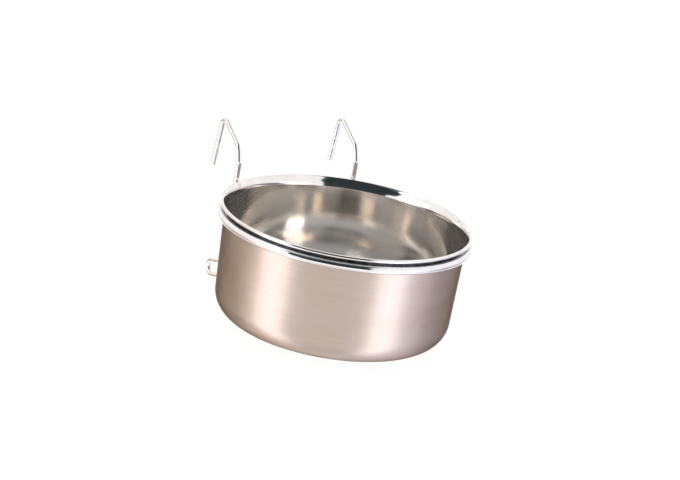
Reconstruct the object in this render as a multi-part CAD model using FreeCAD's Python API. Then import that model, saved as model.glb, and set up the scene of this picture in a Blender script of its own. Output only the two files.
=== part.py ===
"""Hang-on feeding bowl: a drawn steel bowl that lies in a wire ring with two cage hooks.

Frame, in millimetres: the origin is the centre of the bowl's flat underside, +Z is up the
bowl's axis, -Y is the front and +Y is the side that hangs on the cage. The object is
symmetric about the plane X = 0.
"""
import FreeCAD, Part
import math
import os
from FreeCAD import Vector

# ---- driving dimensions ----------------------------------------------------------------
# bowl
LIP_DIAMETER = 120.0        # over the rolled lip
BOWL_HEIGHT = 55.0          # underside to the top of the lip
SHEET = 0.6                 # thickness of the drawn sheet
HEM_DIAMETER = 1.7          # rolled edge of the lip
NECK_LEAN = 11.5            # degrees that the neck leans out above the ring
MOUTH_RADIUS = 8.0          # inner face, where the neck opens out into the rolled edge
WALL_LEAN = 2.1             # degrees that the wall leans in towards the base
CORNER_RADIUS = 12.0        # outside radius between wall and base

# carrying ring
RING_WIRE = 3.7             # wire diameter
RING_DROP = 4.9             # lip top down to the wire's centre
RING_OVERHANG = 0.4         # how far the lip's edge stands outside the wire's centre
BOWL_CLEARANCE = 0.3        # bowl to ring, all round

# hooks
HOOK_WIRE = 2.4             # wire diameter
HOOK_SPACING = 64.4         # centre to centre
LIP_CLEARANCE = 0.45        # shank to the bowl's lip, so that the bowl lifts out
WELD_SETDOWN = 0.3          # how deep the hook wire is pressed into the ring
SHANK_RISE = 8.5            # lip top up to the first bend
LEAN_RISE = 6.7             # height of the stretch that starts to lean back
LEAN_BACK = 2.4
REACH_RISE = 10.1           # height of the stretch that reaches back to the peak
REACH_BACK = 18.9
LEFT_TAIL_DROP = 26.3       # height of the tail behind the peak; the left one is cut longer
RIGHT_TAIL_DROP = 24.3
TAIL_LEAN = 8.8             # degrees that the tail leans back
SHANK_BEND = 4.0            # centreline bend radii
REACH_BEND = 6.0
PEAK_BEND = 3.2
JOG_BEND = 3.0
JOG_TOP = 1.0               # the shank steps out from this far above the lip top
JOG_BOTTOM = 2.2            # to this far below it, to run down outside the ring

# stand-off loops at the foot of the hooks
LOOP_DROP = 49.8            # lip top down to the loop's lower wire, at the shank
LOOP_GAP = 4.8              # clear height inside the loop
LOOP_LENGTH = 14.9          # shank centre back to the outside of the loop
LOOP_SLOPE = 15.0           # degrees that the loop points down
LOOP_END_GAP = 0.5          # cut end of the loop to the shank, filled by its weld
FOOT_BEND = 2.4             # centreline radius where the shank turns back into the loop

# weld metal
RING_WELD_RADIUS = 1.9
LOOP_WELD_RADIUS = 1.6

# ---- derived sizes ---------------------------------------------------------------------
LIP_RADIUS = LIP_DIAMETER / 2
HEM_RADIUS = HEM_DIAMETER / 2
HEM_CENTRE = (LIP_RADIUS - HEM_RADIUS, BOWL_HEIGHT - HEM_RADIUS)
RING_WIRE_RADIUS = RING_WIRE / 2
RING_RADIUS = LIP_RADIUS - RING_OVERHANG
RING_Z = BOWL_HEIGHT - RING_DROP
SEAT_RADIUS = RING_WIRE_RADIUS + BOWL_CLEARANCE     # bowl's seat, about the wire's centre

HOOK_WIRE_RADIUS = HOOK_WIRE / 2
HOOK_X = HOOK_SPACING / 2
# the upper shank clears the lip, the lower shank is welded to the outside of the ring
UPPER_SHANK_Y = math.sqrt((LIP_RADIUS + LIP_CLEARANCE + HOOK_WIRE_RADIUS) ** 2 - HOOK_X ** 2)
WELD_RADIUS = RING_RADIUS + RING_WIRE_RADIUS + HOOK_WIRE_RADIUS - WELD_SETDOWN
LOWER_SHANK_Y = math.sqrt(WELD_RADIUS ** 2 - HOOK_X ** 2)
LOOP_TURN = (LOOP_GAP + HOOK_WIRE) / 2              # centreline radius of the round end
SHORT_RUN = 0.005           # half the straight run left between the round end's two arcs


def unit(vector):
    """The vector at length one."""
    return Vector(vector).multiply(1.0 / vector.Length)


def arc_about(centre, radius, start_deg, end_deg):
    """Arc in the XZ plane; angles run from +X towards +Z."""
    def at(angle):
        turn = math.radians(angle)
        return Vector(centre[0] + radius * math.cos(turn), 0,
                      centre[1] + radius * math.sin(turn))
    return Part.Arc(at(start_deg), at((start_deg + end_deg) / 2), at(end_deg)).toShape()


def joined(edges):
    """The edges with straight lines between the ends that don't meet, as a closed wire."""
    outline = []
    for edge, following in zip(edges, edges[1:] + edges[:1]):
        outline.append(edge)
        end = edge.valueAt(edge.LastParameter)
        start = following.valueAt(following.FirstParameter)
        if end.distanceToPoint(start) > 1e-6:
            outline.append(Part.LineSegment(end, start).toShape())
    return Part.Wire(Part.__sortEdges__(outline))


def mouth():
    """Centre of the mouth's arc, and the direction from it to the rolled edge, in degrees.

    The arc touches the neck's leaning inner face and runs into the rolled edge.
    """
    lean = math.radians(NECK_LEAN)
    bend = SEAT_RADIUS + SHEET
    start = (RING_RADIUS - bend * math.cos(lean), RING_Z + bend * math.sin(lean))
    # from the rolled edge's centre to the arc's centre, if the leaning face had no length
    across = start[0] + MOUTH_RADIUS * math.cos(lean) - HEM_CENTRE[0]
    below = HEM_CENTRE[1] - start[1] + MOUTH_RADIUS * math.sin(lean)
    along = below * math.cos(lean) - across * math.sin(lean)
    offset = across ** 2 + below ** 2 - (MOUTH_RADIUS - HEM_RADIUS) ** 2
    face = along - math.sqrt(along ** 2 - offset)
    centre = (HEM_CENTRE[0] + across + face * math.sin(lean),
              HEM_CENTRE[1] - below + face * math.cos(lean))
    return centre, math.degrees(math.atan2(HEM_CENTRE[1] - centre[1],
                                           HEM_CENTRE[0] - centre[0]))


def triangle_angle(near, far, opposite):
    """Angle, in degrees, between the sides near and far of a triangle."""
    return math.degrees(math.acos((near ** 2 + far ** 2 - opposite ** 2) / (2 * near * far)))


def bowl():
    """One drawn sheet: flat base, rounded corner, leaning wall, neck, mouth and rolled lip."""
    # the neck bends round the ring's wire and leans out; the mouth opens to the rolled edge
    neck = (RING_RADIUS, RING_Z)
    neck_start, neck_end = 180 - WALL_LEAN, 180 - NECK_LEAN
    mouth_centre, lip = mouth()
    # the wall is straight and touches the neck's bend and the corner
    lean = math.radians(WALL_LEAN)
    corner_x = (RING_RADIUS - (RING_Z - CORNER_RADIUS) * math.tan(lean)
                - (SEAT_RADIUS + CORNER_RADIUS) / math.cos(lean))
    corner = (corner_x, CORNER_RADIUS)
    # the mouth's outer face runs into the underside of the rolled edge
    reach, under = MOUTH_RADIUS - HEM_RADIUS, MOUTH_RADIUS - SHEET
    lip_foot = lip - 180 - triangle_angle(reach, HEM_RADIUS, under)
    mouth_foot = lip + triangle_angle(reach, under, HEM_RADIUS)

    outside = [arc_about(corner, CORNER_RADIUS, -90, -WALL_LEAN),
               arc_about(neck, SEAT_RADIUS, neck_start, neck_end),
               arc_about(mouth_centre, under, neck_end, mouth_foot),
               arc_about(HEM_CENTRE, HEM_RADIUS, lip_foot, lip)]
    inside = [arc_about(mouth_centre, MOUTH_RADIUS, lip, neck_end),
              arc_about(neck, SEAT_RADIUS + SHEET, neck_end, neck_start),
              arc_about(corner, CORNER_RADIUS - SHEET, -WALL_LEAN, -90)]
    base = Part.LineSegment(Vector(0, 0, SHEET), Vector(0, 0, 0)).toShape()
    section = Part.Face(joined(outside + inside + [base]))
    return section.revolve(Vector(0, 0, 0), Vector(0, 0, 1), 360)


def support_ring():
    """The closed wire ring that the bowl's neck sits in."""
    return Part.makeTorus(RING_RADIUS, RING_WIRE_RADIUS, Vector(0, 0, RING_Z))


def bent_wire(points, radii, wire_radius):
    """Round wire along straight runs joined by tangent arcs; one radius per inner point."""
    edges = []
    start = points[0]
    for before, corner, after, radius in zip(points, points[1:], points[2:], radii):
        back, on = unit(before - corner), unit(after - corner)
        half = back.getAngle(on) / 2
        reach = radius / math.tan(half)
        centre = corner + unit(back + on) * (radius / math.sin(half))
        arc_start, arc_end = corner + back * reach, corner + on * reach
        arc_middle = centre + unit(corner - centre) * radius
        edges.append(Part.LineSegment(start, arc_start).toShape())
        edges.append(Part.Arc(arc_start, arc_middle, arc_end).toShape())
        start = arc_end
    edges.append(Part.LineSegment(start, points[-1]).toShape())
    path = Part.Wire(edges)
    section = Part.Wire(Part.makeCircle(wire_radius, points[0], points[1] - points[0]))
    return path.makePipeShell([section], True, False)


def loop_corners(x):
    """Corners of one stand-off loop, from the foot of the shank round to the wire's end."""
    down, back = math.sin(math.radians(LOOP_SLOPE)), math.cos(math.radians(LOOP_SLOPE))
    foot = Vector(x, LOWER_SHANK_Y, BOWL_HEIGHT - LOOP_DROP)
    # the round end reaches LOOP_LENGTH when the far corners stand this far down the slope
    far = (LOOP_LENGTH - HOOK_WIRE_RADIUS - LOOP_TURN * (1 + down - back)) / back
    outward = Vector(0, back, -down)
    far_low = foot + outward * far
    far_high = far_low + Vector(0, down, back) * (2 * LOOP_TURN)
    end_y = LOWER_SHANK_Y + HOOK_WIRE_RADIUS + LOOP_END_GAP
    end = far_high - outward * ((far_high.y - end_y) / back)
    return [foot, far_low, far_high, end]


def hook_route(x, tail_drop):
    """Corners and bend radii of one hook wire, from the tail's tip to the loop's end."""
    lean_z = BOWL_HEIGHT + SHANK_RISE
    reach_z = lean_z + LEAN_RISE
    peak = Vector(x, UPPER_SHANK_Y + LEAN_BACK + REACH_BACK, reach_z + REACH_RISE)
    tail_back = tail_drop * math.tan(math.radians(TAIL_LEAN))
    foot, far_low, far_high, end = loop_corners(x)
    corners = [
        (peak + Vector(0, tail_back, -tail_drop), None),
        (peak, PEAK_BEND),
        (Vector(x, UPPER_SHANK_Y + LEAN_BACK, reach_z), REACH_BEND),
        (Vector(x, UPPER_SHANK_Y, lean_z), SHANK_BEND),
        (Vector(x, UPPER_SHANK_Y, BOWL_HEIGHT + JOG_TOP), JOG_BEND),
        (Vector(x, LOWER_SHANK_Y, BOWL_HEIGHT - JOG_BOTTOM), JOG_BEND),
        (foot, FOOT_BEND),
        (far_low, LOOP_TURN - SHORT_RUN),
        (far_high, LOOP_TURN - SHORT_RUN),
        (end, None)]
    return [point for point, _ in corners], [radius for _, radius in corners[1:-1]]


def hook(x, tail_drop):
    """One hook wire, with the seat that its weld presses into the ring."""
    points, radii = hook_route(x, tail_drop)
    return bent_wire(points, radii, HOOK_WIRE_RADIUS).cut(support_ring())


def weld_beads(hooks):
    """Weld metal: each hook to the ring, and each loop's end back to its shank."""
    beads = []
    for x, wire in hooks:
        contact = Vector(x, LOWER_SHANK_Y, 0) * ((WELD_RADIUS - HOOK_WIRE_RADIUS) / WELD_RADIUS)
        contact.z = RING_Z
        ring_weld = Part.makeSphere(RING_WELD_RADIUS, contact)
        loop_weld = Part.makeSphere(LOOP_WELD_RADIUS, loop_corners(x)[-1])
        for bead in (ring_weld, loop_weld):
            beads.append(bead.cut(wire).cut(support_ring()))
    return Part.makeCompound(beads)


def main():
    os.makedirs("parts", exist_ok=True)
    left_hook = hook(-HOOK_X, LEFT_TAIL_DROP)
    right_hook = hook(HOOK_X, RIGHT_TAIL_DROP)
    nodes = {
        "bowl": bowl(),
        "support_ring": support_ring(),
        "left_hook": left_hook,
        "right_hook": right_hook,
        "weld_beads": weld_beads([(-HOOK_X, left_hook), (HOOK_X, right_hook)]),
    }
    for name, shape in nodes.items():
        shape.exportStep(f"parts/{name}.step")
        print(name, "valid", shape.isValid(), "solids", len(shape.Solids),
              "volume", round(shape.Volume, 1), "box", shape.BoundBox)


main()
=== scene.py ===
"""Looks of the hang-on feeding bowl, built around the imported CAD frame. Metres throughout."""

import math

import bmesh
import bpy
from mathutils import Matrix, Vector


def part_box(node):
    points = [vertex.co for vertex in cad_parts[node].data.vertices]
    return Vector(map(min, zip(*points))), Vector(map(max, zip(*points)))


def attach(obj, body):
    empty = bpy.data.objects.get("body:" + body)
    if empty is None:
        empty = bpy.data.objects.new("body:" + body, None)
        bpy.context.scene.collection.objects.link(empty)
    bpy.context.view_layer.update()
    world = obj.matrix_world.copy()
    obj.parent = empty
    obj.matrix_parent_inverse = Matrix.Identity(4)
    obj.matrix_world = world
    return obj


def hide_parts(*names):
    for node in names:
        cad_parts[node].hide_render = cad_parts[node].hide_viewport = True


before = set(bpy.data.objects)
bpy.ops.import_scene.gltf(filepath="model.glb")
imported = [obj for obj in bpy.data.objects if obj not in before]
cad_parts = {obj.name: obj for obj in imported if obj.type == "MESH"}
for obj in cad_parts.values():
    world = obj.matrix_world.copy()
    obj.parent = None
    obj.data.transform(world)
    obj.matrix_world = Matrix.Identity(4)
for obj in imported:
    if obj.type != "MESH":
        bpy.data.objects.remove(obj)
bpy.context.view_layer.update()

MM = 0.001

# ---- sizes: the outer ones from the frame, the sheet's section as in the CAD model --------
# The frame is made of flat facets, which fall a few micrometres short, so its sizes are rounded.
_, BOWL_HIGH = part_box("bowl")
RING_LOW, RING_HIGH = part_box("support_ring")
LIP_RADIUS = round(BOWL_HIGH.x, 4)
BOWL_HEIGHT = round(BOWL_HIGH.z, 4)
RING_Z = round((RING_LOW.z + RING_HIGH.z) / 2, 4)
RING_RADIUS = round(RING_HIGH.x - (RING_HIGH.z - RING_LOW.z) / 2, 4)
RING_WIRE_RADIUS = round(RING_HIGH.x - RING_RADIUS, 5)

SHEET = 0.6 * MM
HEM_RADIUS = 0.85 * MM      # of the rolled edge
HEM_CENTRE = (LIP_RADIUS - HEM_RADIUS, BOWL_HEIGHT - HEM_RADIUS)
SEAT_CLEARANCE = 0.3 * MM   # between the ring's wire and the neck that is bent about it
SEAT_RADIUS = RING_WIRE_RADIUS + SEAT_CLEARANCE
NECK_LEAN = 11.5            # degrees that the neck leans out above the ring
MOUTH_RADIUS = 8.0 * MM     # inner face, where the neck opens into the rolled lip
WALL_LEAN = 2.1             # degrees that the wall leans in towards the base
CORNER_RADIUS = 12.0 * MM

# ---- camera ------------------------------------------------------------------------------
CAMERA_AZIMUTH = math.radians(-31.5)
CAMERA_ELEVATION = math.radians(17.63)
CAMERA_ROLL = math.radians(9.56)
CAMERA_DISTANCE = 1.499
CAMERA_LENS = 169.35         # millimetres, and so is the sensor's width
CAMERA_SENSOR = 36.0
CAMERA_SHIFT = (-0.0105882, -0.0355882)     # shares of the picture's width
CAMERA_CLIP = (0.05, 50.0)
TARGET = Vector((0, 0, BOWL_HEIGHT))

FRONT = Vector((math.sin(CAMERA_AZIMUTH), -math.cos(CAMERA_AZIMUTH), 0))   # level, to camera
RIGHT = Vector((math.cos(CAMERA_AZIMUTH), math.sin(CAMERA_AZIMUTH), 0))


# ---- node graphs -------------------------------------------------------------------------
class Graph:
    """Short calls that add nodes to a tree; sockets or plain values go in, sockets out."""

    def __init__(self, tree):
        self.tree = tree
        tree.nodes.clear()

    def node(self, kind, inputs=None, **settings):
        made = self.tree.nodes.new(kind)
        for name, value in settings.items():
            setattr(made, name, value)
        for name, value in (inputs or {}).items():
            self.put(made.inputs[name], value)
        return made

    def put(self, socket, value):
        if isinstance(value, bpy.types.NodeSocket):
            self.tree.links.new(value, socket)
        else:
            socket.default_value = value

    def math(self, operation, *values, clamp=False):
        made = self.node("ShaderNodeMath", operation=operation, use_clamp=clamp)
        for socket, value in zip(made.inputs, values):
            self.put(socket, value)
        return made.outputs[0]

    def dot(self, vector, direction):
        made = self.node("ShaderNodeVectorMath", operation="DOT_PRODUCT")
        self.put(made.inputs[0], vector)
        made.inputs[1].default_value = direction
        return made.outputs["Value"]

    def plus(self, first, *others):
        for other in others:
            first = self.math("ADD", first, other)
        return first

    def minus(self, first, second):
        return self.math("SUBTRACT", first, second)

    def times(self, first, *others):
        for other in others:
            first = self.math("MULTIPLY", first, other)
        return first

    def degrees(self, operation, *values):
        """An arc function's result, in degrees."""
        return self.times(self.math(operation, *values), 180 / math.pi)

    def ramp(self, value, low, high, to_low=0.0, to_high=1.0):
        """Goes smoothly from to_low to to_high while the value goes from low to high."""
        made = self.node("ShaderNodeMapRange", interpolation_type="SMOOTHSTEP",
                         inputs={"Value": value, "From Min": low, "From Max": high,
                                 "To Min": to_low, "To Max": to_high})
        return made.outputs["Result"]

    def pick(self, mask, off, on):
        """The value off where the mask is 0, on where it is 1, and between them in between."""
        made = self.node("ShaderNodeMapRange", {"Value": mask, "To Min": off, "To Max": on})
        return made.outputs["Result"]

    def past(self, value, edge, soft):
        """Mask of where the value is more than the edge, which is soft by this much each way."""
        return self.ramp(self.minus(value, edge), -soft, soft)

    def window(self, value, low, high, soft_low, soft_high=None):
        """Mask of where the value lies from low to high. The last two are the whole widths of
        the soft edges."""
        soft_high = soft_low if soft_high is None else soft_high
        return self.times(self.ramp(value, low - soft_low / 2, low + soft_low / 2),
                          self.ramp(value, high - soft_high / 2, high + soft_high / 2, 1, 0))

    def blend(self, factor, first, second):
        """First colour where the factor is 0, second where it is 1."""
        made = self.node("ShaderNodeMix", data_type="RGBA")
        for socket, value in ((0, factor), (6, first), (7, second)):   # the node's colour sockets
            self.put(made.inputs[socket], value)
        return made.outputs[2]

    def noise(self, vector, scale, detail=3.0, roughness=0.6):
        made = self.node("ShaderNodeTexNoise",
                         {"Vector": vector, "Scale": scale, "Detail": detail,
                          "Roughness": roughness})
        return made.outputs["Fac"]

    def vector(self, x, y, z):
        return self.node("ShaderNodeCombineXYZ", {"X": x, "Y": y, "Z": z}).outputs[0]

    def mixed_shader(self, factor, first, second):
        """First shader where the factor is 0, second where it is 1."""
        made = self.node("ShaderNodeMixShader")
        for socket, value in zip(made.inputs, (factor, first, second)):
            self.put(socket, value)
        return made.outputs[0]


def rgb(r, g, b):
    return (r, g, b, 1.0)


# ---- world -------------------------------------------------------------------------------
# The steel reflects a room that is painted here. All angles are degrees, white is 1.
CEILING = 0.49               # brightness of the ceiling
CEILING_COLOUR = rgb(1, 0.985, 0.98)
REAR_CEILING = (96, 148)     # from which pitch to which
REAR_CEILING_COLOUR = rgb(0.965, 1.0, 1.04)

# a panel or a shade on a wall: its azimuths, its elevations, and how soft each pair of edges is
REAR_SHADE = ((96, 141), (-42, -12), (24, 22), (12, 8))     # on the left and on the right
REAR_SHADE_DARKNESS = 0.5
LEFT_PANEL = ((-79, -46), (-60, 24), (8, 6), (20, 14))
RIGHT_PANEL = ((40, 71), (-60, 4), (12, 12), (20, 14))
PANEL_GLOW = 1.1

# a patch higher up: its lateral angles, its pitches, and how soft each pair of edges is
GAP = ((26, 58), (38, 130), 8, 10)          # a dimmer gap at the right of the ceiling
GAP_SHARE = 0.7                             # of the ceiling's brightness
OVERHEAD = ((-27, 20), (78, 101), 5, 6)     # dimmed for light that has bounced once
OVERHEAD_DARKNESS = 0.7
REAR_LAMP = ((11, 46), (153, 166), 4, 4)
REAR_LAMP_POWER = 1.2                       # brightness that the lamp adds
WARM_LAMPS = ((((-28, -16), (75, 90), 4, 4), 3.4), (((8, 15), (115, 127), 4, 4), 3.0),
              (((-7, 4), (114, 121), 4, 4), 0.8), (((6, 27), (96, 105), 4, 4), 2.6))
WARM_COLOUR = rgb(1.0, 0.80, 0.64)
WARM_TINTING = 0.5                          # how much a warm lamp's brightness tints its place

# the slanted strip lamp: each edge's slope, and its pitch at the middle of the room
STRIP_LOWER_EDGE = (0.24, 61)
STRIP_UPPER_EDGE = (-0.53, 64)
STRIP_LEFT_END = (-47, -62, -36)            # for one bounce, two, and three or more
STRIP_RIGHT_END = (-12, -3, -12)
STRIP_LIFT = 5                              # for three bounces or more
STRIP_POWER = 2.1
STRIP_POWER_THREE = 0.85 * STRIP_POWER      # for three bounces only

# the dark opening: lateral angles of its edges, low down and higher up
OPENING_LEFT = (-34, -45)
OPENING_RIGHT = (27, 28)
OPENING_TOP = (82, 102)                     # pitch, for one bounce and for more
SLOT_INSETS = (25, -16)                     # how far each edge draws in to make the slot
OPENING_COLOUR = rgb(0.80, 1.0, 1.10)
OPENING_DARKNESS = 0.96                     # share of the light that it takes from one bounce
SLOT_DARKNESS = 0.93                        # and from more bounces, in the slot

# colour of the walls and the ground, by azimuth
WALL_COLOURS = ((-180, rgb(1.0, 0.97, 0.97)), (-150, rgb(1.0, 0.95, 0.92)),
                (-115, rgb(1.0, 0.84, 0.64)), (-64, rgb(1.0, 0.95, 0.98)),
                (-25, rgb(1.0, 0.95, 0.90)), (15, rgb(1.0, 0.94, 0.90)),
                (56, rgb(0.97, 0.98, 1.04)), (110, rgb(1.0, 0.90, 1.0)),
                (145, rgb(0.98, 0.96, 1.03)), (180, rgb(1.0, 0.97, 0.97)))


class Room:
    """Where a ray leaves the object for, in degrees, and masks of how often it has bounced.
    Azimuth runs round to the right from the camera's side, elevation up from the horizon.
    Pitch runs up from the camera's side and over the top, and lateral is to the right of it.
    The masks again, thrice and often mean two, three and four bounces or more; once means
    fewer than two, and three means just three."""

    def __init__(self, g):
        self.g = g
        direction = g.node("ShaderNodeTexCoord").outputs["Generated"]
        up, front, side = (g.dot(direction, axis) for axis in ((0, 0, 1), FRONT, RIGHT))
        self.azimuth = g.degrees("ARCTAN2", side, front)
        self.elevation = g.degrees("ARCSINE", up)
        self.lateral = g.degrees("ARCSINE", side)
        self.pitch = g.degrees("ARCTAN2", up, front)
        path = g.node("ShaderNodeLightPath").outputs
        self.seen_directly = path["Is Camera Ray"]
        self.again, self.thrice, self.often = (
            g.math("GREATER_THAN", path["Ray Depth"], bounces + 0.5) for bounces in (2, 3, 4))
        self.once = g.minus(1.0, self.again)
        self.three = g.minus(self.thrice, self.often)

    def by_bounces(self, one, two, more):
        """A value that depends on whether the light has bounced once, twice or more."""
        return self.g.pick(self.thrice, self.g.pick(self.again, one, two), more)

    def panel(self, azimuths, elevations, soft_sides, soft_ends, both_sides=False):
        """Mask of a softly edged panel on a wall, or of one on the left and one on the right."""
        azimuth = self.g.math("ABSOLUTE", self.azimuth) if both_sides else self.azimuth
        return self.g.times(self.g.window(azimuth, *azimuths, *soft_sides),
                            self.g.window(self.elevation, *elevations, *soft_ends))

    def patch(self, laterals, pitches, soft_sides, soft_ends):
        """Mask of a softly edged patch higher up."""
        return self.g.times(self.g.window(self.lateral, *laterals, soft_sides),
                            self.g.window(self.pitch, *pitches, soft_ends))


def dark_opening(g, room):
    """Mask of the dark opening on the camera's side. For light that has bounced more than
    once it goes on over the top as a narrow slot."""
    slot = g.times(g.ramp(room.pitch, 52, 66), room.again)
    left_inset, right_inset = (g.times(slot, inset) for inset in SLOT_INSETS)
    left_edge = g.plus(g.ramp(room.pitch, 4, 18, *OPENING_LEFT), g.ramp(room.pitch, 38, 60, 0, 8),
                       left_inset, g.times(room.once, 1.5))
    right_edge = g.plus(g.ramp(room.pitch, 4, 40, *OPENING_RIGHT), right_inset,
                        g.times(g.ramp(room.pitch, 28, 58, 0, -7), room.once))
    outer_softness = g.pick(room.again, -1.5, -5)
    return g.times(g.ramp(g.minus(room.lateral, left_edge), outer_softness, 1.5),
                   g.past(right_edge, room.lateral, 1.5),
                   g.ramp(room.pitch, -4, 2),
                   g.past(g.pick(room.again, *OPENING_TOP), room.pitch, 3))


def opening_darkness(g, room):
    """Share of the light that the opening takes away: least low on the left, for light that
    has bounced more than once."""
    low_down = g.ramp(room.lateral, 1, 9, 0.5, 0.8)
    later = g.ramp(room.pitch, 56, 66, low_down, SLOT_DARKNESS)
    return g.pick(room.again, OPENING_DARKNESS, later)


def lower_room(g, room):
    """Brightness of the ground and the low walls, the same on the left and on the right:
    shaded towards the rear, brighter right behind, and dimmer right under the front."""
    away = g.math("ABSOLUTE", room.azimuth)
    rear_shade = g.times(room.panel(*REAR_SHADE, both_sides=True), REAR_SHADE_DARKNESS)
    ground = g.minus(g.ramp(away, 20, 44, 1.1, 1.0), rear_shade)
    right_behind = g.ramp(away, 138, 165, 0, 0.4)
    under_front = g.times(g.ramp(room.elevation, -50, -36, 0.3, 0), g.ramp(away, 25, 50, 1, 0))
    return g.minus(g.plus(ground, right_behind), under_front)


def upper_room(g, room):
    """Brightness of the ceiling and the high walls. Light that has bounced once sees them
    white. Other light sees a dimmer ceiling with a gap in it, and white walls at the sides
    and at the rear."""
    level = g.ramp(room.pitch, 148, 168, CEILING, 1.0)
    left_edge = g.pick(room.thrice, -46, -55)
    left_side = g.times(g.past(left_edge, room.lateral, 4), g.ramp(room.pitch, 92, 106, 1, 0.1))
    level = g.pick(left_side, level, 1.0)
    level = g.pick(room.patch(*GAP), level, CEILING * GAP_SHARE)
    right_edge = g.plus(g.ramp(room.pitch, 28, 70, 30, 66), g.ramp(room.pitch, 120, 156, 0, -42))
    level = g.pick(g.past(room.lateral, right_edge, 4), level, 1.0)
    return g.pick(room.again, 1.0, level)


def strip_lamp(g, room):
    """Brightness of the strip lamp, high on the left and narrower to the right."""
    lift = g.times(room.thrice, STRIP_LIFT)
    lower_edge = g.plus(g.math("MULTIPLY_ADD", room.lateral, *STRIP_LOWER_EDGE), lift)
    upper_edge = g.plus(g.math("MULTIPLY_ADD", room.lateral, *STRIP_UPPER_EDGE), lift)
    return g.times(g.past(room.pitch, lower_edge, 2.5), g.past(upper_edge, room.pitch, 4),
                   g.past(room.lateral, room.by_bounces(*STRIP_LEFT_END), 4),
                   g.past(room.by_bounces(*STRIP_RIGHT_END), room.lateral, 2.5),
                   g.pick(room.three, STRIP_POWER, STRIP_POWER_THREE))


def rear_lamp(g, room):
    """Brightness of the lamp behind the object, for light that has bounced three times."""
    return g.times(room.patch(*REAR_LAMP), room.three, REAR_LAMP_POWER)


def warm_lamps(g, room):
    """Brightness of the small warm lamps, for light that has bounced four times or more."""
    total = 0.0
    for place, power in WARM_LAMPS:
        total = g.math("MULTIPLY_ADD", room.patch(*place), power, total)
    return g.times(total, room.often)


def wall_colour(g, room):
    """The colour of the walls and the ground, which changes all round."""
    made = g.node("ShaderNodeValToRGB")
    g.put(made.inputs[0], g.math("DIVIDE", g.plus(room.azimuth, 180), 360))
    elements = made.color_ramp.elements
    while len(elements) < len(WALL_COLOURS):
        elements.new(0.5)
    for element, (azimuth, colour) in zip(elements, WALL_COLOURS):
        element.position = (azimuth + 180) / 360
        element.color = colour
    return made.outputs[0]


def studio_world():
    """The room that the steel reflects; the camera itself sees plain white. A ray meets a
    room that depends on how often it has bounced, so that the mirrored inside of the bowl
    can be lit apart from its outside."""
    world = bpy.data.worlds.new("studio")
    bpy.context.scene.world = world
    world.use_nodes = True
    g = Graph(world.node_tree)
    room = Room(g)
    opening = dark_opening(g, room)
    warm = warm_lamps(g, room)

    above = g.plus(upper_room(g, room), strip_lamp(g, room), rear_lamp(g, room), warm)
    level = g.ramp(room.elevation, 4, 14, lower_room(g, room), above)
    for side_panel in (LEFT_PANEL, RIGHT_PANEL):
        level = g.plus(level, g.times(room.panel(*side_panel), PANEL_GLOW))
    level = g.times(level, g.minus(1.0, g.times(opening, opening_darkness(g, room))))
    overhead = g.times(room.patch(*OVERHEAD), room.once, OVERHEAD_DARKNESS)
    level = g.times(level, g.minus(1.0, overhead))

    rear_ceiling = g.times(g.window(room.pitch, *REAR_CEILING, 10), room.again)
    tint = g.blend(g.ramp(room.elevation, 0, 12), wall_colour(g, room), CEILING_COLOUR)
    tint = g.blend(rear_ceiling, tint, REAR_CEILING_COLOUR)
    tint = g.blend(g.math("MULTIPLY", warm, WARM_TINTING, clamp=True), tint, WARM_COLOUR)
    tint = g.blend(g.times(opening, room.once), tint, OPENING_COLOUR)

    painted = g.node("ShaderNodeBackground", {"Color": tint, "Strength": level}).outputs[0]
    plain = g.node("ShaderNodeBackground", {"Color": rgb(1, 1, 1), "Strength": 1.0}).outputs[0]
    g.node("ShaderNodeOutputWorld",
           {"Surface": g.mixed_shader(room.seen_directly, painted, plain)})


def pale_floor():
    """White floor that keeps the object's soft shadow. It is clear from below, and hidden
    from the metal, which reflects the ground that is painted in the world."""
    glow_share, glow_brightness = 0.86, 1.08
    mesh = bpy.data.meshes.new("floor")
    bm = bmesh.new()
    bmesh.ops.create_circle(bm, cap_ends=True, segments=96, radius=6.0)
    bm.to_mesh(mesh)
    bm.free()
    floor = bpy.data.objects.new("floor", mesh)
    bpy.context.scene.collection.objects.link(floor)
    material = bpy.data.materials.new("floor_paper")
    material.use_nodes = True
    g = Graph(material.node_tree)
    seen_directly = g.node("ShaderNodeLightPath").outputs["Is Camera Ray"]
    from_below = g.node("ShaderNodeNewGeometry").outputs["Backfacing"]
    matt = g.node("ShaderNodeBsdfDiffuse", {"Color": rgb(0.97, 0.97, 0.97)}).outputs[0]
    glow = g.node("ShaderNodeEmission",
                  {"Color": rgb(1, 1, 1), "Strength": glow_brightness}).outputs[0]
    clear = g.node("ShaderNodeBsdfTransparent").outputs[0]
    paper = g.mixed_shader(g.times(seen_directly, glow_share), matt, glow)
    g.node("ShaderNodeOutputMaterial", {"Surface": g.mixed_shader(from_below, paper, clear)})
    mesh.materials.append(material)
    floor.visible_glossy = False
    floor.location.z = -0.2 * MM     # just clear of the bowl's flat base


# ---- materials ---------------------------------------------------------------------------
def metal(name, inputs=None):
    """A metal material, its node graph and its shader node."""
    material = bpy.data.materials.new(name)
    material.use_nodes = True
    g = Graph(material.node_tree)
    shader = g.node("ShaderNodeBsdfPrincipled", {"Metallic": 1.0, **(inputs or {})})
    g.node("ShaderNodeOutputMaterial", {"Surface": shader.outputs[0]})
    return material, g, shader


def object_place(g):
    """Where a point lies on the piece, in metres."""
    return g.node("ShaderNodeTexCoord").outputs["Object"]


def radius_and_height(g, place):
    """Distance from the bowl's axis, and height."""
    x, y, z = g.node("ShaderNodeSeparateXYZ", {"Vector": place}).outputs
    return g.math("SQRT", g.plus(g.times(x, x), g.times(y, y))), z


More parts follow.
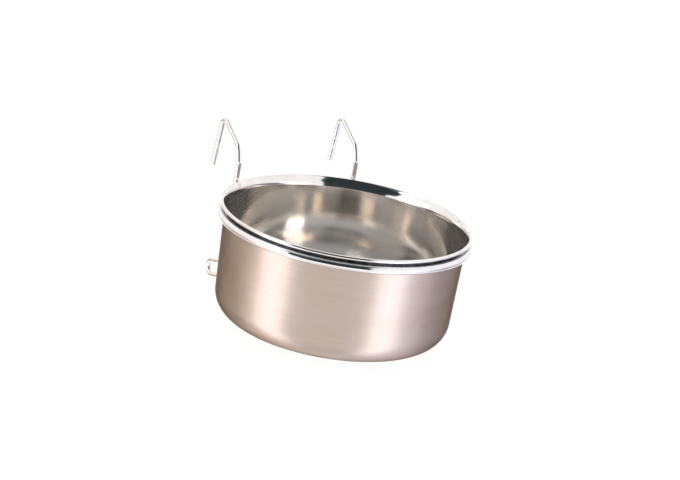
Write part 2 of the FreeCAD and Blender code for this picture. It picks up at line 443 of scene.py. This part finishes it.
def turned_coordinates(g, place, around, along):
    """Coordinates that vary slowly around the Z axis and quickly along the turned profile."""
    x, y, _ = g.node("ShaderNodeSeparateXYZ", {"Vector": place}).outputs
    profile = g.plus(*radius_and_height(g, place))
    return g.vector(g.times(x, around), g.times(y, around), g.times(profile, along))


def bumped(g, shader, height, distance):
    bump = g.node("ShaderNodeBump", {"Height": height, "Distance": distance})
    g.put(shader.inputs["Normal"], bump.outputs[0])


def brushed_round(g, shader):
    """Turns the shader's anisotropy to run round the Z axis."""
    tangent = g.node("ShaderNodeTangent", direction_type="RADIAL", axis="Z")
    g.put(shader.inputs["Tangent"], tangent.outputs[0])


def satin_steel():
    """Outside of the bowl: fine rings of brushing, faint warm mottling."""
    material, g, shader = metal("satin_steel", {"Anisotropic": 0.72, "Anisotropic Rotation": 0.25,
                                                "Specular Tint": rgb(0.12, 0.10, 0.08)})
    brushed_round(g, shader)
    place = object_place(g)
    lines = g.noise(turned_coordinates(g, place, around=60.0, along=5200.0), scale=1.0)
    streaks = g.noise(turned_coordinates(g, place, around=25.0, along=900.0), scale=1.0,
                      detail=2.0, roughness=0.5)
    mottle = g.noise(place, scale=55.0)
    warm = g.blend(g.ramp(mottle, 0.3, 0.7), rgb(0.585, 0.495, 0.44), rgb(0.645, 0.56, 0.515))
    colour = g.blend(g.ramp(streaks, 0.25, 0.75, 0.0, 0.35), warm, rgb(0.67, 0.59, 0.54))
    g.put(shader.inputs["Base Color"], colour)
    g.put(shader.inputs["Roughness"],
          g.plus(g.ramp(lines, 0.2, 0.8, 0.31, 0.37), g.ramp(mottle, 0.3, 0.7, -0.02, 0.02)))
    bumped(g, shader, g.plus(lines, g.times(streaks, 0.7)), distance=4e-6)
    return material


def lip_steel():
    """Flare and rolled lip, polished bright."""
    material, g, shader = metal("lip_steel")
    place = object_place(g)
    lines = g.noise(turned_coordinates(g, place, around=40.0, along=3800.0), scale=1.0)
    clouds = g.noise(place, scale=120.0, detail=2.0, roughness=0.5)
    g.put(shader.inputs["Base Color"],
          g.blend(g.ramp(clouds, 0.35, 0.65), rgb(0.86, 0.83, 0.81), rgb(0.93, 0.91, 0.90)))
    g.put(shader.inputs["Roughness"],
          g.plus(g.ramp(lines, 0.3, 0.8, 0.05, 0.10), g.ramp(clouds, 0.4, 0.7, 0.0, 0.02)))
    bumped(g, shader, lines, distance=1.2e-6)
    return material


def inner_steel():
    """Inside of the bowl: half polished, with rings of turning marks, and a darker, bluer base
    colour on the flat that is a painted reflection tint.
    """
    flat_end, wall_start = 40.0 * MM, 45.0 * MM
    material, g, shader = metal("inner_steel", {"Metallic": 0.92, "Anisotropic": 0.45,
                                                "Anisotropic Rotation": 0.25})
    brushed_round(g, shader)
    place = object_place(g)
    lines = g.noise(turned_coordinates(g, place, around=50.0, along=4200.0), scale=1.0)
    clouds = g.noise(place, scale=70.0, roughness=0.55)
    colour = g.blend(g.ramp(clouds, 0.3, 0.7), rgb(0.875, 0.84, 0.795), rgb(0.915, 0.88, 0.84))
    radius, _ = radius_and_height(g, place)
    # the flat's darker, bluish base colour is a painted reflection tint, not a different finish
    g.put(shader.inputs["Base Color"],
          g.blend(g.ramp(radius, flat_end, wall_start), rgb(0.70, 0.73, 0.745), colour))
    g.put(shader.inputs["Roughness"],
          g.plus(g.ramp(lines, 0.2, 0.8, 0.06, 0.10), g.ramp(clouds, 0.3, 0.7, -0.01, 0.01)))
    bumped(g, shader, g.plus(lines, g.times(clouds, 3.0)), distance=2e-6)
    return material


def groove_steel_painted_shade():
    """The neck's outer face above the ring: rougher than the lip, with a dark base colour that
    paints the shade in the groove between the lip and the ring.
    """
    material, g, shader = metal("groove_steel_painted_shade")
    clouds = g.noise(object_place(g), scale=420.0)
    # dark base colour: painted shade in the groove between the lip and the ring
    g.put(shader.inputs["Base Color"],
          g.blend(g.ramp(clouds, 0.3, 0.7), rgb(0.23, 0.24, 0.25), rgb(0.36, 0.37, 0.38)))
    g.put(shader.inputs["Roughness"], g.ramp(clouds, 0.3, 0.7, 0.16, 0.26))
    bumped(g, shader, clouds, distance=8e-6)
    return material


def chrome_wire():
    """Bright plated wire with fine pits and a few duller spots."""
    material, g, shader = metal("chrome_wire")
    place = object_place(g)
    clouds = g.noise(place, scale=260.0)
    pits = g.noise(place, scale=1900.0, detail=2.0, roughness=0.5)
    g.put(shader.inputs["Base Color"],
          g.blend(g.ramp(clouds, 0.35, 0.7), rgb(0.92, 0.925, 0.935), rgb(0.85, 0.86, 0.875)))
    g.put(shader.inputs["Roughness"], g.ramp(clouds, 0.35, 0.75, 0.045, 0.11))
    bumped(g, shader, g.plus(g.times(clouds, 3.0), pits), distance=2.5e-6)
    return material


def weld_metal():
    """Plated weld metal: uneven and a little duller than the wire."""
    material, g, shader = metal("weld_metal")
    lumps = g.noise(object_place(g), scale=1400.0)
    g.put(shader.inputs["Base Color"],
          g.blend(g.ramp(lumps, 0.35, 0.7), rgb(0.80, 0.80, 0.81), rgb(0.56, 0.55, 0.55)))
    g.put(shader.inputs["Roughness"], g.ramp(lumps, 0.3, 0.75, 0.16, 0.36))
    bumped(g, shader, lumps, distance=3e-5)
    return material


# ---- meshes ------------------------------------------------------------------------------
BASE_STEPS = 14              # faces along each part of the bowl's section
CORNER_STEPS = 24
WALL_STEPS = 12


def arc(centre, radius, start, end, steps):
    """Points of an arc in the (radius, height) plane, both ends included; degrees."""
    points = []
    for i in range(steps + 1):
        turn = math.radians(start + (end - start) * i / steps)
        points.append((centre[0] + radius * math.cos(turn), centre[1] + radius * math.sin(turn)))
    return points


def straight(start, end, steps):
    """Points of a straight run, without its start."""
    return [(start[0] + (end[0] - start[0]) * i / steps, start[1] + (end[1] - start[1]) * i / steps)
            for i in range(1, steps + 1)]


def mouth():
    """Centre of the mouth's arc, and the direction from it to the rolled edge, in degrees.
    A straight face joins the neck's bend to the arc. Its length is the root of a quadratic
    that lets the arc touch the rolled edge from within."""
    lean = math.radians(NECK_LEAN)
    bend = SEAT_RADIUS + SHEET
    start = (RING_RADIUS - bend * math.cos(lean), RING_Z + bend * math.sin(lean))
    across = start[0] + MOUTH_RADIUS * math.cos(lean) - HEM_CENTRE[0]
    below = HEM_CENTRE[1] - start[1] + MOUTH_RADIUS * math.sin(lean)
    along = below * math.cos(lean) - across * math.sin(lean)
    offset = across ** 2 + below ** 2 - (MOUTH_RADIUS - HEM_RADIUS) ** 2
    face = along - math.sqrt(along ** 2 - offset)
    centre = (HEM_CENTRE[0] + across + face * math.sin(lean),
              HEM_CENTRE[1] - below + face * math.cos(lean))
    return centre, math.degrees(math.atan2(HEM_CENTRE[1] - centre[1],
                                           HEM_CENTRE[0] - centre[0]))


def triangle_angle(near, far, opposite):
    """Angle, in degrees, between the sides near and far of a triangle."""
    return math.degrees(math.acos((near ** 2 + far ** 2 - opposite ** 2) / (2 * near * far)))


def bowl_profile():
    """The sheet's section from the axis underneath, over the lip and back inside, as runs of
    (radius, height) points: the outside, the groove at the neck, the lip and the inside."""
    lean = math.radians(WALL_LEAN)
    corner = (RING_RADIUS - (RING_Z - CORNER_RADIUS) * math.tan(lean)
              - (SEAT_RADIUS + CORNER_RADIUS) / math.cos(lean), CORNER_RADIUS)
    neck = (RING_RADIUS, RING_Z)
    neck_start, neck_end = 180 - WALL_LEAN, 180 - NECK_LEAN
    mouth_centre, normal = mouth()
    reach, under = MOUTH_RADIUS - HEM_RADIUS, MOUTH_RADIUS - SHEET
    at_hem = triangle_angle(reach, HEM_RADIUS, under)
    at_mouth = triangle_angle(reach, under, HEM_RADIUS)
    wall_top = arc(neck, SEAT_RADIUS, neck_start, neck_end, steps=1)[0]
    base_radii = [corner[0] * i / BASE_STEPS for i in range(1, BASE_STEPS)]

    outside = [(radius, 0.0) for radius in base_radii]
    outside += arc(corner, CORNER_RADIUS, -90, -WALL_LEAN, CORNER_STEPS)
    outside += straight(outside[-1], wall_top, WALL_STEPS)
    groove = arc(neck, SEAT_RADIUS, neck_start, neck_end, steps=5)[1:]
    groove += arc(mouth_centre, under, neck_end, normal + at_mouth, steps=8)
    lip = arc(HEM_CENTRE, HEM_RADIUS, normal - 180 - at_hem, normal, steps=34)[1:]
    lip += arc(mouth_centre, MOUTH_RADIUS, normal, neck_end, steps=12)[1:]
    lip += arc(neck, SEAT_RADIUS + SHEET, neck_end, neck_start, steps=6)
    corner_inside = arc(corner, CORNER_RADIUS - SHEET, -WALL_LEAN, -90, CORNER_STEPS)
    inside = straight(lip[-1], corner_inside[0], WALL_STEPS) + corner_inside[1:]
    inside += [(radius, SHEET) for radius in reversed(base_radii)]
    return outside, groove, lip, inside


def revolved(bm, profile, segments):
    """Rings of vertices round the Z axis, one for each (radius, height) of the profile."""
    turns = [2 * math.pi * i / segments for i in range(segments)]
    return [[bm.verts.new((radius * math.cos(turn), radius * math.sin(turn), height))
             for turn in turns] for radius, height in profile]


def band(bm, low, high, finish=0):
    """Faces between two rings of vertices."""
    for i in range(len(low)):
        face = bm.faces.new((low[i - 1], low[i], high[i], high[i - 1]))
        face.material_index = finish


def cap(bm, ring, height, finish):
    """Faces from a ring of vertices to a point on the axis."""
    middle = bm.verts.new((0, 0, height))
    for i in range(len(ring)):
        face = bm.faces.new((middle, ring[i - 1], ring[i]))
        face.material_index = finish


def mesh_object(name, bm, materials, body):
    """A smooth mesh piece in the row frame, with its finish, riding on its body."""
    bmesh.ops.recalc_face_normals(bm, faces=bm.faces)
    mesh = bpy.data.meshes.new(name)
    bm.to_mesh(mesh)
    bm.free()
    for face in mesh.polygons:
        face.use_smooth = True
    piece = bpy.data.objects.new(name, mesh)
    bpy.context.scene.collection.objects.link(piece)
    for material in materials:
        mesh.materials.append(material)
    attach(piece, body)
    return piece


def bowl_shell(materials):
    """The drawn bowl as one closed sheet, with one material for each run of its profile."""
    runs = bowl_profile()
    finishes = [finish for finish, run in enumerate(runs) for _ in run]
    bm = bmesh.new()
    rings = revolved(bm, [point for run in runs for point in run], segments=320)
    for low, high, finish in zip(rings, rings[1:], finishes[1:]):
        band(bm, low, high, finish)
    cap(bm, rings[0], 0.0, finishes[0])
    cap(bm, rings[-1], SHEET, finishes[-1])
    piece = mesh_object("bowl_shell", bm, materials, "bowl")
    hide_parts("bowl")


def ring_wire(material):
    """The support ring's wire."""
    bm = bmesh.new()
    section = arc((RING_RADIUS, RING_Z), RING_WIRE_RADIUS, 0, 360, steps=40)[1:]
    rings = revolved(bm, section, segments=360)
    for i in range(len(rings)):
        band(bm, rings[i - 1], rings[i])
    piece = mesh_object("ring_wire", bm, [material], "holder")
    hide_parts("support_ring")


# ---- scene -------------------------------------------------------------------------------
def camera():
    """The camera, rolled a little about its line of sight."""
    data = bpy.data.cameras.new("camera")
    data.lens = CAMERA_LENS
    data.sensor_width = CAMERA_SENSOR
    data.shift_x, data.shift_y = CAMERA_SHIFT
    data.clip_start, data.clip_end = CAMERA_CLIP
    made = bpy.data.objects.new("camera", data)
    bpy.context.scene.collection.objects.link(made)
    back = FRONT * math.cos(CAMERA_ELEVATION) + Vector((0, 0, math.sin(CAMERA_ELEVATION)))
    up = back.cross(RIGHT)
    right = RIGHT * math.cos(CAMERA_ROLL) + up * math.sin(CAMERA_ROLL)
    top = up * math.cos(CAMERA_ROLL) - RIGHT * math.sin(CAMERA_ROLL)
    turn = Matrix((right, top, back)).transposed().to_4x4()
    made.matrix_world = Matrix.Translation(TARGET + back * CAMERA_DISTANCE) @ turn
    bpy.context.scene.camera = made


bpy.context.scene.view_settings.view_transform = "Standard"
studio_world()
pale_floor()
camera()

chrome = chrome_wire()
weld = weld_metal()
bowl_shell([satin_steel(), groove_steel_painted_shade(), lip_steel(), inner_steel()])
ring_wire(chrome)
for node, finish in (("left_hook", chrome), ("right_hook", chrome), ("weld_beads", weld)):
    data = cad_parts[node].data
    data.materials.clear()
    data.materials.append(finish)
